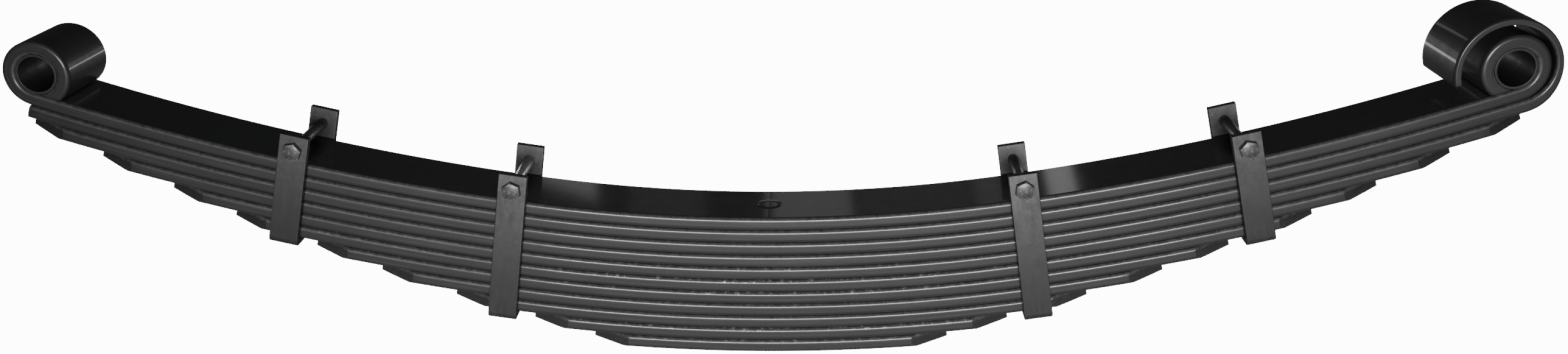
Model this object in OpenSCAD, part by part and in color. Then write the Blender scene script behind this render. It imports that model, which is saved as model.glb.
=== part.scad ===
// Semi-elliptic truck leaf spring: a stepped pack of curved leaves with rolled eyes,
// a half wrap round one eye, a centre bolt and four bolted rebound clips.
// X runs along the spring, Y across its width and Z up. The origin is on the centre bolt's axis
// at the underside of the shortest leaf, where the pack sits on the axle.

/* [Leaves] */
// Width of every leaf
leaf_w = 90; // [60:1:120]
// Thickness of every leaf
leaf_t = 15; // [10:0.5:18]
// Air gap left between one leaf and the next
leaf_gap = 0.2; // [0.1:0.1:0.5]
// Radius of the main leaf's top face over the middle of the spring
middle_radius = 1875; // [1500:25:3000]
// Half angle of the middle arc, in degrees
middle_angle = 8.6; // [6:0.2:10]
// Radius of the main leaf's top face over the two arms
arm_radius = 3050; // [2600:10:5000]
// Distance from the centre bolt to each blunt tip, from the third leaf down to the shortest
tip_reach = [822, 752, 677, 610, 521, 449, 365, 275, 206];
// Distance that the square end of the second leaf reaches past the middle of the eye
square_end_past = 16; // [5:1:22]
// Length of the trimmed corners at a leaf's tip
trim_length = 42; // [20:1:60]
// Depth of the trimmed corners, measured in from the side of the leaf
trim_depth = 23; // [10:1:28]

/* [Eyes] */
// Distance from the centre bolt to the middle of each eye
eye_reach = 800; // [780:1:810]
// Inside radius of the rolled eyes
eye_inner_r = 22.5; // [18:0.5:28]
// Slit left between the end of the rolled eye and the leaf below it
eye_slit = 1.2; // [0.6:0.1:2.5]
// Gap between the eye and the wrap where it leaves the second leaf
wrap_lower_gap = 0.8; // [0.4:0.1:2]
// Radial room between the eye and the wrap over the top of the eye
wrap_upper_gap = 11.8; // [9:0.2:18]
// Distance past the eye at which the wrap starts to curl
wrap_lead = 3.4; // [3:0.2:6]
// Thickness that the wrap tapers to
wrap_t = 8.5; // [7:0.5:10]

/* [Bushes] */
// Wall of the pressed-in bushes
bush_wall = 2.45; // [1.5:0.05:5]
// Distance that each bush stops short of the leaf's side
bush_recess = 1.5; // [0.5:0.5:4]
// Clearance all round between a bush and its eye
bush_clearance = 0.05; // [0.03:0.01:0.1]

/* [Clips] */
// Distance from the centre bolt to the inner and the outer clips, along the main leaf's top
clip_reach = [286, 527];
// Number of leaves that the inner and the outer clips hold
clip_leaves = [9, 6];
// Width of a clip's strap
strap_w = 32; // [24:1:40]
// Thickness of a clip's strap
strap_t = 8; // [5:0.5:10]
// Gap between a strap's leg and the side of the leaves
strap_side_gap = 1.5; // [0.5:0.1:3]
// Gap between a strap's base and the leaf that it is riveted to
strap_base_gap = 0.3; // [0.2:0.1:0.6]
// Height of a strap's legs above the main leaf
leg_rise = 34; // [30:1:45]
// Inside radius of the strap's bends
strap_bend_r = 1.2; // [0.8:0.1:1.4]

/* [Fasteners] */
// Diameter of the clip bolts
clip_bolt_d = 12; // [8:1:14]
// Height of a clip bolt's axis above the main leaf
clip_bolt_rise = 16.5; // [14:0.5:22]
// Width across flats of the clip bolt's head and nut
clip_bolt_af = 19; // [17:1:24]
// Height of a clip bolt's head
clip_head_h = 7.5; // [5:0.5:10]
// Height of a clip nut
clip_nut_h = 10; // [7:0.5:12]
// Diameter of the rivets that hold the clips to their leaves
rivet_d = 10; // [8:1:14]
// Diameter of a rivet's heads
rivet_head_d = 19; // [16:1:22]
// Height of a rivet's domed head
rivet_head_h = 5.5; // [3:0.5:7]
// Diameter of the centre bolt
centre_bolt_d = 16; // [12:1:20]
// Diameter of the round head that locates the spring on its axle
dowel_d = 25; // [22:0.5:32]
// Height of the round head
dowel_h = 10; // [6:0.5:16]
// Diameter of the countersunk nut in the main leaf
sunk_nut_d = 30; // [26:1:34]
// Radial clearance between a bolt or rivet and its hole
hole_clearance = 0.25; // [0.1:0.05:0.5]

/* [Hidden] */
$fn = 96;
cut = 0.5;
// Longest chord along a leaf, and largest turn of one chord in an eye, in degrees.
leaf_chord = 25;
eye_turn = 5;
// Skin that the eye is rolled undersize by, and reamed back to its inside radius.
ream = 0.3;
pitch = leaf_t + leaf_gap;
leaf_count = len(tip_reach) + 2;
pack_h = leaf_count * pitch - leaf_gap;
half_w = leaf_w / 2;
bush_outer_r = eye_inner_r - bush_clearance;
bush_bore_r = bush_outer_r - bush_wall;

// Arc centres of the right-hand half, as [x, z] with z measured from the main leaf's top.
middle_c = [0, middle_radius];
arm_c = middle_c + (arm_radius - middle_radius) * [-sin(middle_angle), cos(middle_angle)];

// Angle of the leaf at a distance x from the centre bolt, at a depth below the main leaf's top.
function slope_at(x, depth) =
    x < (middle_radius + depth) * sin(middle_angle) ? asin(x / (middle_radius + depth)) :
    asin((x - arm_c[0]) / (arm_radius + depth));
// The point [x, z] on a leaf at angle a and a depth below the main leaf's top.
function point_at(a, depth) = a < middle_angle ? middle_c + (middle_radius + depth) * [sin(a), -cos(a)] :
    arm_c + (arm_radius + depth) * [sin(a), -cos(a)];

// The eye's middle stands over the leaf, square to it.
rolled_r = eye_inner_r - ream;
eye_angle = asin((eye_reach - arm_c[0]) / (arm_radius - rolled_r));
wrap_angle = eye_angle + wrap_lead / arm_radius * 180 / PI;
// Wrap: the foot's outer arc closes tangentially on the upper arc's outer face.
wrap_lower_r = rolled_r + leaf_t + wrap_lower_gap;
wrap_upper_r = rolled_r + leaf_t + wrap_upper_gap;
wrap_shift = wrap_upper_r - wrap_lower_r;
wrap_start_r = wrap_lower_r + leaf_t;
wrap_end_r = wrap_upper_r + wrap_t;
wrap_foot_r = (wrap_end_r * wrap_end_r - wrap_shift * wrap_shift - wrap_start_r * wrap_start_r)
    / (2 * (wrap_end_r - wrap_start_r));
wrap_turn = atan2(wrap_start_r - wrap_foot_r, wrap_shift);

strap_half = half_w + strap_side_gap;
clip_grip = 2 * (strap_half + strap_t);
sunk_nut_h = (sunk_nut_d - centre_bolt_d) / 2;
big = 4 * leaf_w;

SIDES = ["left", "right"];

// ---- Helpers ----

// Lifts the children so that the shortest leaf's underside lies at zero.
module on_seat() translate([0, 0, pack_h]) children();

// The children as drawn for the right-hand half, or mirrored for the left.
module on_side(side) mirror([side == "left" ? 1 : 0, 0, 0]) children();

// Puts the children at angle a on the right-hand half: X along the leaf, Z square to it.
module at_leaf(a, depth) {
    p = point_at(a, depth);
    translate([p[0], 0, p[1]]) rotate([0, -a, 0]) children();
}

// A cylinder along Y, centred on the leaf's middle plane.
module cross_cylinder(r, length, x = 0, z = 0) translate([x, 0, z]) rotate([90, 0, 0])
    cylinder(h = length, r = r, center = true);

// Points on an arc about c, from one angle to another, measured from X towards Z.
function arc(c, r, from, to, count) = [for (i = [0:count])
    c + r * [cos(from + (to - from) * i / count), sin(from + (to - from) * i / count)]];
// The same for an eye or a wrap, with as many chords as its turn needs.
function curl(c, r, from, to) = arc(c, r, from, to, ceil(abs(to - from) / eye_turn));
// The same for a leaf's face, with as many chords as its length needs.
function sweep(c, r, from, to) = arc(c, r, from - 90, to - 90, ceil((to - from) * PI / 180 * r / leaf_chord));
function tail(path) = [for (i = [1:len(path) - 1]) path[i]];
function reversed(path) = [for (i = [len(path) - 1:-1:0]) path[i]];

// The right-hand half of a face at a depth below the main leaf's top, from the centre bolt to angle a.
function face_path(depth, a) = a <= middle_angle ? sweep(middle_c, middle_radius + depth, 0, a) :
    concat(sweep(middle_c, middle_radius + depth, 0, middle_angle),
        tail(sweep(arm_c, arm_radius + depth, middle_angle, a)));

// Half outlines run from the middle of a leaf's top, round its end, to the middle of its underside.
function plain_half(n, a) = concat(face_path((n - 1) * pitch, a),
    reversed(face_path((n - 1) * pitch + leaf_t, a)));

// The eye's roll ends on its inner side, a slit above the leaf that it was rolled from.
function eye_half() = let(c = point_at(eye_angle, -rolled_r), foot = eye_angle - 90,
    inner_end = foot + 360 - acos(1 - eye_slit / rolled_r),
    outer_end = foot + 360 - acos((rolled_r - eye_slit) / (rolled_r + leaf_t)))
    concat(face_path(0, eye_angle), tail(curl(c, rolled_r, foot, inner_end)),
        curl(c, rolled_r + leaf_t, outer_end, foot), tail(reversed(face_path(leaf_t, eye_angle))));

// The wrap leaves the second leaf on one arc, goes over the eye on a wider one and tapers as it goes.
function wrap_half() = let(c = point_at(wrap_angle, pitch - wrap_lower_r), foot = wrap_angle - 90,
    along = [cos(wrap_angle), sin(wrap_angle)], up = [-sin(wrap_angle), cos(wrap_angle)],
    upper_c = c - wrap_shift * along, foot_c = c + (wrap_foot_r - wrap_start_r) * up)
    concat(face_path(pitch, wrap_angle), tail(curl(c, wrap_lower_r, foot, wrap_angle)),
        tail(curl(upper_c, wrap_upper_r, wrap_angle, wrap_angle + 180)),
        curl(upper_c, wrap_end_r, wrap_angle + 180, wrap_angle - wrap_turn),
        tail(curl(foot_c, wrap_foot_r, wrap_angle - wrap_turn, foot)),
        tail(reversed(face_path(pitch + leaf_t, wrap_angle))));

// A leaf's body between a left half outline, drawn mirrored, and a right one.
module leaf_body(left_half, right_half) rotate([90, 0, 0]) linear_extrude(leaf_w, center = true)
    polygon(concat(right_half, [for (i = [len(left_half) - 2:-1:1]) [-left_half[i][0], left_half[i][1]]]));

// The two corners that are trimmed off a tip at angle a of leaf number n.
module tip_trims(n, a) at_leaf(a, (n - 0.5) * pitch) {
    // The cut runs straight on past the side and past the end of the leaf.
    over = cut * trim_length / trim_depth;
    for (s = [0, 1]) mirror([0, s, 0]) translate([0, 0, -leaf_t])
        linear_extrude(2 * leaf_t) polygon([[-trim_length - over, half_w + cut],
            [over, half_w - trim_depth - cut], [leaf_t, half_w + cut]]);
}

module centre_hole() cylinder(h = 3 * pack_h, r = centre_bolt_d / 2 + hole_clearance, center = true);

// A rivet hole through leaf number n at a clip, with a countersink in the leaf's top.
module rivet_hole(n, reach) at_leaf(slope_at(reach, 0), (n - 1) * pitch) {
    sink = (rivet_head_d - rivet_d) / 2;
    translate([0, 0, -2 * leaf_t]) cylinder(h = 3 * leaf_t, r = rivet_d / 2 + hole_clearance);
    translate([0, 0, -sink]) cylinder(h = sink + cut, r1 = rivet_d / 2 + hole_clearance,
        r2 = rivet_head_d / 2 + hole_clearance + cut);
}

// Leaf number n with two trimmed tips.
module stepped_leaf(n) color([0.2, 0.2, 0.21]) on_seat() difference() {
    a = slope_at(tip_reach[n - 3], (n - 0.5) * pitch);
    leaf_body(plain_half(n, a), plain_half(n, a));
    for (s = SIDES) on_side(s) tip_trims(n, a);
    for (s = SIDES, c = [0, 1]) if (clip_leaves[c] == n) on_side(s) rivet_hole(n, clip_reach[c]);
    centre_hole();
}

// ---- Leaves ----

// The countersunk hole for the centre nut.
module nut_hole() translate([0, 0, -big / 2]) rotate_extrude() polygon([[0, 0],
    [centre_bolt_d / 2 + hole_clearance, 0], [centre_bolt_d / 2 + hole_clearance, big / 2 - sunk_nut_h],
    [sunk_nut_d / 2 + hole_clearance, big / 2], [sunk_nut_d / 2 + hole_clearance, big], [0, big]]);

module main_leaf() color([0.22, 0.22, 0.23]) on_seat() difference() {
    leaf_body(eye_half(), eye_half());
    for (s = SIDES) on_side(s) at_leaf(eye_angle, -rolled_r) cross_cylinder(eye_inner_r, 2 * leaf_w);
    nut_hole();
}

module wrap_leaf() color([0.2, 0.2, 0.21]) on_seat() difference() {
    leaf_body(plain_half(2, slope_at(eye_reach + square_end_past, 1.5 * pitch)), wrap_half());
    centre_hole();
}

module leaf_3() stepped_leaf(3);
module leaf_4() stepped_leaf(4);
module leaf_5() stepped_leaf(5);
module leaf_6() stepped_leaf(6);
module leaf_7() stepped_leaf(7);
module leaf_8() stepped_leaf(8);
module leaf_9() stepped_leaf(9);
module leaf_10() stepped_leaf(10);
module leaf_11() stepped_leaf(11);

// ---- Centre bolt ----

module centre_bolt() color([0.3, 0.3, 0.31]) {
    translate([0, 0, -dowel_h]) cylinder(h = dowel_h, r = dowel_d / 2);
    cylinder(h = pack_h - sunk_nut_h, r = centre_bolt_d / 2);
}

module centre_nut() color([0.28, 0.28, 0.29]) on_seat() translate([0, 0, -sunk_nut_h])
    cylinder(h = sunk_nut_h - cut, r1 = centre_bolt_d / 2, r2 = sunk_nut_d / 2 - cut);

// ---- Bushes ----

module eye_bush(side) color([0.32, 0.31, 0.3]) on_seat() on_side(side) at_leaf(eye_angle, -rolled_r)
    difference() {
        cross_cylinder(bush_outer_r, leaf_w - 2 * bush_recess);
        cross_cylinder(bush_bore_r, leaf_w);
    }

module left_eye_bush() eye_bush("left");
module right_eye_bush() eye_bush("right");

// ---- Clips: place 0 is the inner clip and 1 the outer one ----

// Puts the children at a clip: Z is zero at the main leaf's top, square to it.
module at_clip(side, place) on_seat() on_side(side) at_leaf(slope_at(clip_reach[place], 0), 0) children();

function clip_base(place) = -(clip_leaves[place] * pitch - leaf_gap + strap_base_gap);

// A quarter bend of the strap at the foot of a leg.
module strap_bend() rotate([90, 0, 90]) translate([0, 0, -strap_w / 2])
    rotate([0, 0, -90]) rotate_extrude(angle = 90) translate([strap_bend_r, 0]) square([strap_t, strap_w]);

module clip_strap(side, place) color([0.3, 0.3, 0.31]) at_clip(side, place) {
    base = clip_base(place);
    inner = strap_half - strap_bend_r;
    difference() {
        union() {
            translate([-strap_w / 2, -inner, base - strap_t]) cube([strap_w, 2 * inner, strap_t]);
            for (s = [0, 1]) mirror([0, s, 0]) {
                translate([-strap_w / 2, strap_half, base + strap_bend_r])
                    cube([strap_w, strap_t, leg_rise - base - strap_bend_r]);
                translate([0, inner, base + strap_bend_r]) strap_bend();
            }
        }
        translate([0, 0, clip_bolt_rise]) cross_cylinder(clip_bolt_d / 2 + hole_clearance, big);
        translate([0, 0, base - 2 * strap_t]) cylinder(h = 3 * strap_t, r = rivet_d / 2 + hole_clearance);
    }
}

module clip_bolt(side, place) color([0.55, 0.55, 0.56]) at_clip(side, place)
    translate([0, 0, clip_bolt_rise]) rotate([90, 0, 0]) {
        translate([0, 0, clip_grip / 2]) rotate([0, 0, 30])
            cylinder(h = clip_head_h, r = clip_bolt_af / sqrt(3), $fn = 6);
        translate([0, 0, -clip_grip / 2 - clip_nut_h - 3])
            cylinder(h = clip_grip + clip_nut_h + 3, r = clip_bolt_d / 2);
    }

module clip_nut(side, place) color([0.4, 0.4, 0.41]) at_clip(side, place)
    translate([0, strap_half + strap_t, clip_bolt_rise]) rotate([-90, 0, 0]) difference() {
        cylinder(h = clip_nut_h, r = clip_bolt_af / sqrt(3), $fn = 6);
        translate([0, 0, -cut]) cylinder(h = clip_nut_h + 2 * cut, r = clip_bolt_d / 2);
    }

// The rivet's sunk head lies flush in the leaf and its domed head is under the strap.
module clip_rivet(side, place) color([0.4, 0.4, 0.41]) at_clip(side, place) {
    top = -(clip_leaves[place] - 1) * pitch;
    sink = (rivet_head_d - rivet_d) / 2;
    under = clip_base(place) - strap_t;
    dome_r = (rivet_head_d * rivet_head_d / 4 + rivet_head_h * rivet_head_h) / (2 * rivet_head_h);
    translate([0, 0, top - sink]) cylinder(h = sink - cut, r1 = rivet_d / 2, r2 = rivet_head_d / 2 - cut);
    translate([0, 0, under]) cylinder(h = top - sink - under, r = rivet_d / 2);
    intersection() {
        translate([0, 0, under + dome_r - rivet_head_h]) sphere(r = dome_r);
        translate([0, 0, under - rivet_head_h]) cylinder(h = rivet_head_h, r = rivet_head_d / 2 + cut);
    }
}

module left_inner_clip_strap() clip_strap("left", 0);
module left_inner_clip_bolt() clip_bolt("left", 0);
module left_inner_clip_nut() clip_nut("left", 0);
module left_inner_clip_rivet() clip_rivet("left", 0);
module left_outer_clip_strap() clip_strap("left", 1);
module left_outer_clip_bolt() clip_bolt("left", 1);
module left_outer_clip_nut() clip_nut("left", 1);
module left_outer_clip_rivet() clip_rivet("left", 1);
module right_inner_clip_strap() clip_strap("right", 0);
module right_inner_clip_bolt() clip_bolt("right", 0);
module right_inner_clip_nut() clip_nut("right", 0);
module right_inner_clip_rivet() clip_rivet("right", 0);
module right_outer_clip_strap() clip_strap("right", 1);
module right_outer_clip_bolt() clip_bolt("right", 1);
module right_outer_clip_nut() clip_nut("right", 1);
module right_outer_clip_rivet() clip_rivet("right", 1);

main_leaf();
wrap_leaf();
leaf_3();
leaf_4();
leaf_5();
leaf_6();
leaf_7();
leaf_8();
leaf_9();
leaf_10();
leaf_11();
centre_bolt();
centre_nut();
left_eye_bush();
right_eye_bush();
left_inner_clip_strap();
left_inner_clip_bolt();
left_inner_clip_nut();
left_inner_clip_rivet();
left_outer_clip_strap();
left_outer_clip_bolt();
left_outer_clip_nut();
left_outer_clip_rivet();
right_inner_clip_strap();
right_inner_clip_bolt();
right_inner_clip_nut();
right_inner_clip_rivet();
right_outer_clip_strap();
right_outer_clip_bolt();
right_outer_clip_nut();
right_outer_clip_rivet();
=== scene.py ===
# %% [markdown]
# # A truck leaf spring
# Eleven curved strips of spring steel lie on each other, longest on top. The top strip is rolled
# into an eye at each end, the second one wraps round the right eye, and four U-shaped clips keep
# the pack together. Everything is painted black after it is put together.
#
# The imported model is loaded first, as a fixed frame in metres. Each real part is then modelled
# again in finer detail exactly where the frame has it.

# %% Load the frame
import math

import bmesh
import bpy
from mathutils import Matrix, Vector


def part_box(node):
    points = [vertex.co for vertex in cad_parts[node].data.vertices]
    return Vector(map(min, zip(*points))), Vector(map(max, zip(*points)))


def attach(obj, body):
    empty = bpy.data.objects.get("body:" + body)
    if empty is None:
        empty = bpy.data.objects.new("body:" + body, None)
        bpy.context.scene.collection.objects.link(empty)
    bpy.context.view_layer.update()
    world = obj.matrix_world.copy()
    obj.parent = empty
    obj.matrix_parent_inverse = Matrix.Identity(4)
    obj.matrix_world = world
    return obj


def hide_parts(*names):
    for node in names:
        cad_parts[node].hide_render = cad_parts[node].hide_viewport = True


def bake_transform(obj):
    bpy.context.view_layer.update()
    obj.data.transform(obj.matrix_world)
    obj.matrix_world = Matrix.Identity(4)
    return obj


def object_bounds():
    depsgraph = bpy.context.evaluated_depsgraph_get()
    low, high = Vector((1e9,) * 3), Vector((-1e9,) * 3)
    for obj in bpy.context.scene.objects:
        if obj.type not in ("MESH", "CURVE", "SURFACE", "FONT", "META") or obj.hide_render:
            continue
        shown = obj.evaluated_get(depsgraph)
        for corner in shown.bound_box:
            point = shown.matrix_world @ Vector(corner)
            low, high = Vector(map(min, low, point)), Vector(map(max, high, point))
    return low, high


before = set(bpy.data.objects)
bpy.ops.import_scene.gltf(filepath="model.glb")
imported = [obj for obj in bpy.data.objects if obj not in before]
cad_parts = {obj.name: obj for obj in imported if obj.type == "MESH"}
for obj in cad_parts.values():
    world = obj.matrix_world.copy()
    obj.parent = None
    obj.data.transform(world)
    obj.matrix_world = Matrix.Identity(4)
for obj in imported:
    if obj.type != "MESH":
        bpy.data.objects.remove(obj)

cad_low, cad_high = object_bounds()
print("frame box", [round(v, 4) for v in (*cad_low, *cad_high)])

# %% [markdown]
# ## Camera
# The camera comes first, because it decides which details matter. It stands a metre and a half in
# front of the spring, looks down at twenty degrees, and is turned and tilted by a degree or two.
# Its three axes are worked out from those angles and become the columns of its matrix.

# %% Make the camera
camera = bpy.data.objects.new("camera", bpy.data.cameras.new("camera"))
bpy.context.scene.collection.objects.link(camera)
camera.data.sensor_fit = "HORIZONTAL"
camera.data.sensor_width = 36
camera.data.lens = 32.547
stand = (0.06358, -1.51743, 0.76131)
pitch, yaw, roll = 0.3539, -0.03028, -0.01229
forward = Vector((math.sin(yaw) * math.cos(pitch), math.cos(yaw) * math.cos(pitch), -math.sin(pitch)))
level = Vector((math.cos(yaw), -math.sin(yaw), 0))
upright = level.cross(forward)
right = level * math.cos(roll) + upright * math.sin(roll)
up = upright * math.cos(roll) - level * math.sin(roll)
axes = Matrix((right, up, -forward)).transposed().to_4x4()
camera.matrix_world = Matrix.Translation(stand) @ axes
bpy.context.scene.camera = camera
print("camera looks along", [round(v, 3) for v in forward])

# %% [markdown]
# ## The shape of the pack
# A leaf is a flat bar bent to two arcs: one over the middle of the spring, and a flatter one over
# each arm. All leaves share the arcs' centres, so they nest. Every leaf can be described by an angle
# (its slope) and a depth below the top of the main leaf. These few numbers are the same ones that
# shaped the frame, and the height comes from the frame's own box.

# %% Arcs of the leaves
LEAF_W, LEAF_T, PITCH = 0.090, 0.015, 0.0152
MIDDLE_R, ARM_R, MIDDLE_A = 1.875, 3.050, math.radians(8.6)
pack_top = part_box("main_leaf")[0][2] + LEAF_T
middle_c = Vector((0, 0, pack_top + MIDDLE_R))
arm_c = middle_c + (ARM_R - MIDDLE_R) * Vector((-math.sin(MIDDLE_A), 0, math.cos(MIDDLE_A)))


def slope_at(x, depth):
    """Slope of a leaf at a distance x from the centre bolt."""
    if x < (MIDDLE_R + depth) * math.sin(MIDDLE_A):
        return math.asin(x / (MIDDLE_R + depth))
    return math.asin((x - arm_c.x) / (ARM_R + depth))


def leaf_matrix(slope, depth):
    """Place on the right half of a leaf: X along it, Z square to it."""
    centre, radius = (middle_c, MIDDLE_R) if slope < MIDDLE_A else (arm_c, ARM_R)
    spot = centre + (radius + depth) * Vector((math.sin(slope), 0, -math.cos(slope)))
    return Matrix.Translation(spot) @ Matrix.Rotation(-slope, 4, "Y")


def length_at(slope):
    """Distance along the main leaf's top from the centre bolt."""
    return MIDDLE_R * min(slope, MIDDLE_A) + ARM_R * max(0, slope - MIDDLE_A)


print("pack height", round(pack_top, 4))

# %% [markdown]
# ## One flat bar
# Spring steel is rolled with rounded edges, so its section is a rectangle with round corners. A grid
# of one face is stood upright and its four corners are bevelled as vertices. Then it is sliced close
# to each rounded corner. Those extra lines keep smooth shading inside the narrow edge, so the wide
# faces stay flat.

# %% Section of a bar
ACROSS, UPWARDS = Vector((0, 1, 0)), Vector((0, 0, 1))
PAST_CORNER = 1.25


def bar_section(bm, width, thickness, corner, segments):
    """A rounded bar section in the YZ plane, with its top edge at Z = 0."""
    corners = bmesh.ops.create_grid(bm, x_segments=1, y_segments=1, size=0.5)["verts"]
    bmesh.ops.transform(bm, verts=corners, matrix=Matrix.Translation((0, 0, -thickness / 2))
                        @ Matrix(((0, 0, 1, 0), (width, 0, 0, 0), (0, thickness, 0, 0), (0, 0, 0, 1))))
    bmesh.ops.bevel(bm, geom=corners, offset=corner, offset_type="OFFSET", segments=segments,
                    profile=0.5, affect="VERTICES", material=-1)
    keep = corner * PAST_CORNER
    for axis, low, high in ((ACROSS, -width / 2, width / 2), (UPWARDS, -thickness, 0)):
        for spot in (low + keep, high - keep):
            bmesh.ops.bisect_plane(bm, geom=bm.verts[:] + bm.edges[:] + bm.faces[:], dist=1e-7,
                                   plane_co=axis * spot, plane_no=axis)
    return bm.verts[:] + bm.edges[:] + bm.faces[:]


def only(kind, geometry):
    """The points, edges or faces in what an operator gave back."""
    return [part for part in geometry if isinstance(part, kind)]


def bend(bm, geometry, centre, angle, axis, step):
    """Sweeps a section round a centre and returns its far end."""
    steps = max(1, math.ceil(abs(angle) / step))
    return bmesh.ops.spin(bm, geom=geometry, cent=centre, axis=axis, angle=angle,
                          steps=steps)["geom_last"]


def draw_out(bm, geometry, by):
    """Sweeps a section along a straight line and returns its far end."""
    far = bmesh.ops.extrude_face_region(bm, geom=only(bmesh.types.BMFace, geometry))["geom"]
    bmesh.ops.translate(bm, verts=only(bmesh.types.BMVert, far), vec=by)
    return far


# %% [markdown]
# ## From a bmesh to a finished piece
# Each piece ends the same way. Its normals are made to point outwards, and a value called rim is
# stored on its points: one where the surface turns a corner, and nothing elsewhere. The paint uses it
# to find the edges where it wears thin. Shading is smooth, apart from really sharp corners.

# %% Finish a piece
RIM_TURN, SHARP_TURN, FEWEST_CHIPS = math.radians(12), math.radians(50), 0.1


def finish_piece(bm, name, material, node, place=None, tone=0.0, seams=(), fade=0.0):
    """Makes the object, stores what the materials need and hides the frame part that it stands for.

    Edges of faces on a seam get no rim. Chips are as many as tone says, and with a fade they
    get fewer over that distance from the middle of the spring.
    """
    bmesh.ops.recalc_face_normals(bm, faces=bm.faces)
    hidden = {face for face in bm.faces for spot, way in seams
              if abs(face.normal.dot(way)) > 0.999
              and abs((face.calc_center_median() - spot).dot(way)) < 1e-5}
    rim = bm.verts.layers.float.new("rim")
    spot = bm.verts.layers.float_vector.new("place")
    chips = bm.verts.layers.float.new("chips")
    for vert in bm.verts:
        turn = max((edge.calc_face_angle(0) for edge in vert.link_edges
                    if not hidden.intersection(edge.link_faces)), default=0)
        vert[rim] = 1.0 if turn > RIM_TURN else 0.0
        vert[spot] = place(vert.co) if place else vert.co
        vert[chips] = tone * max(FEWEST_CHIPS, 1 - abs(vert.co.x) / fade) if fade else tone
    mesh = bpy.data.meshes.new(name)
    bm.to_mesh(mesh)
    bm.free()
    mesh.shade_smooth()
    mesh.set_sharp_from_angle(angle=SHARP_TURN)
    mesh.materials.append(material)
    piece = bpy.data.objects.new(name, mesh)
    bpy.context.scene.collection.objects.link(piece)
    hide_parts(node)
    return piece


# %% [markdown]
# ## Effects shared by the materials
# Four effects turn up in several finishes, so each is a node group with its own inputs.
# *Rolled streaks* are long faint lines along a bar, left by the rolling mill and still showing
# through the paint. *Orange peel* is the fine pebbling of sprayed paint. *Worn edge* breaks up the
# rim value with noise, so the wear comes and goes. *Settled dust* gathers on faces that look up.

# %% Helpers for node groups
def new_group(name, inputs, outputs):
    """A shader group with its sockets; returns the tree and its two end nodes."""
    tree = bpy.data.node_groups.new(name, "ShaderNodeTree")
    for label, kind, value in inputs:
        made = tree.interface.new_socket(label, in_out="INPUT", socket_type=kind)
        if value is not None:
            made.default_value = value
    for label, kind in outputs:
        tree.interface.new_socket(label, in_out="OUTPUT", socket_type=kind)
    return tree, tree.nodes.new("NodeGroupInput"), tree.nodes.new("NodeGroupOutput")


def add(tree, kind, **settings):
    """A node with its settings; its wires give inputs a value or link a socket to them."""
    node = tree.nodes.new(kind)
    wires = settings.pop("wires", {})
    for key, value in settings.items():
        setattr(node, key, value)
    for key, value in wires.items():
        target = node.inputs[key]
        if isinstance(value, bpy.types.NodeSocket):
            tree.links.new(value, target)
        else:
            target.default_value = value
    return node


def calc(tree, operation, *values):
    """The result of one math node."""
    wires = dict(enumerate(values))
    return add(tree, "ShaderNodeMath", operation=operation, wires=wires).outputs[0]


def spread(tree, value, low, high, to_low=0.0, to_high=1.0):
    """A smooth step of a value from one range to another."""
    return add(tree, "ShaderNodeMapRange", interpolation_type="SMOOTHSTEP", wires={
        "Value": value, "From Min": low, "From Max": high, "To Min": to_low, "To Max": to_high}).outputs[0]


FLOAT, VECTOR = "NodeSocketFloat", "NodeSocketVector"

# %% Rolled streaks
streaks, ends, out = new_group("Rolled streaks", [("Place", VECTOR, None), ("Length", FLOAT, 6.0),
                               ("Fineness", FLOAT, 420.0)], [("Streak", FLOAT), ("Height", FLOAT)])
scale = add(streaks, "ShaderNodeCombineXYZ", wires={0: ends.outputs["Length"], 1: ends.outputs["Fineness"],
                                                    2: ends.outputs["Fineness"]}).outputs[0]
along = add(streaks, "ShaderNodeVectorMath", operation="MULTIPLY", wires={0: ends.outputs["Place"], 1: scale})
long_lines = add(streaks, "ShaderNodeTexNoise", wires={"Vector": along.outputs[0], "Scale": 1.0,
                                                       "Detail": 4.0, "Roughness": 0.62}).outputs[0]
patches = add(streaks, "ShaderNodeTexNoise", wires={"Vector": ends.outputs["Place"], "Scale": 14.0,
                                                    "Detail": 3.0}).outputs[0]
streaks.links.new(calc(streaks, "MULTIPLY", spread(streaks, long_lines, 0.42, 0.68),
                       spread(streaks, patches, 0.3, 0.7, 0.35, 1.0)), out.inputs["Streak"])
streaks.links.new(long_lines, out.inputs["Height"])

# %% Orange peel
peel, ends, out = new_group("Orange peel", [("Place", VECTOR, None), ("Size", FLOAT, 900.0)],
                            [("Height", FLOAT), ("Patch", FLOAT)])
fine = add(peel, "ShaderNodeTexNoise", wires={"Vector": ends.outputs["Place"], "Scale": ends.outputs["Size"],
                                              "Detail": 2.0}).outputs[0]
broad = add(peel, "ShaderNodeTexNoise", wires={"Vector": ends.outputs["Place"], "Scale": 45.0,
                                               "Detail": 5.0, "Roughness": 0.6}).outputs[0]
peel.links.new(calc(peel, "ADD", fine, calc(peel, "MULTIPLY", broad, 1.5)), out.inputs["Height"])
peel.links.new(spread(peel, broad, 0.35, 0.65), out.inputs["Patch"])

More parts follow.
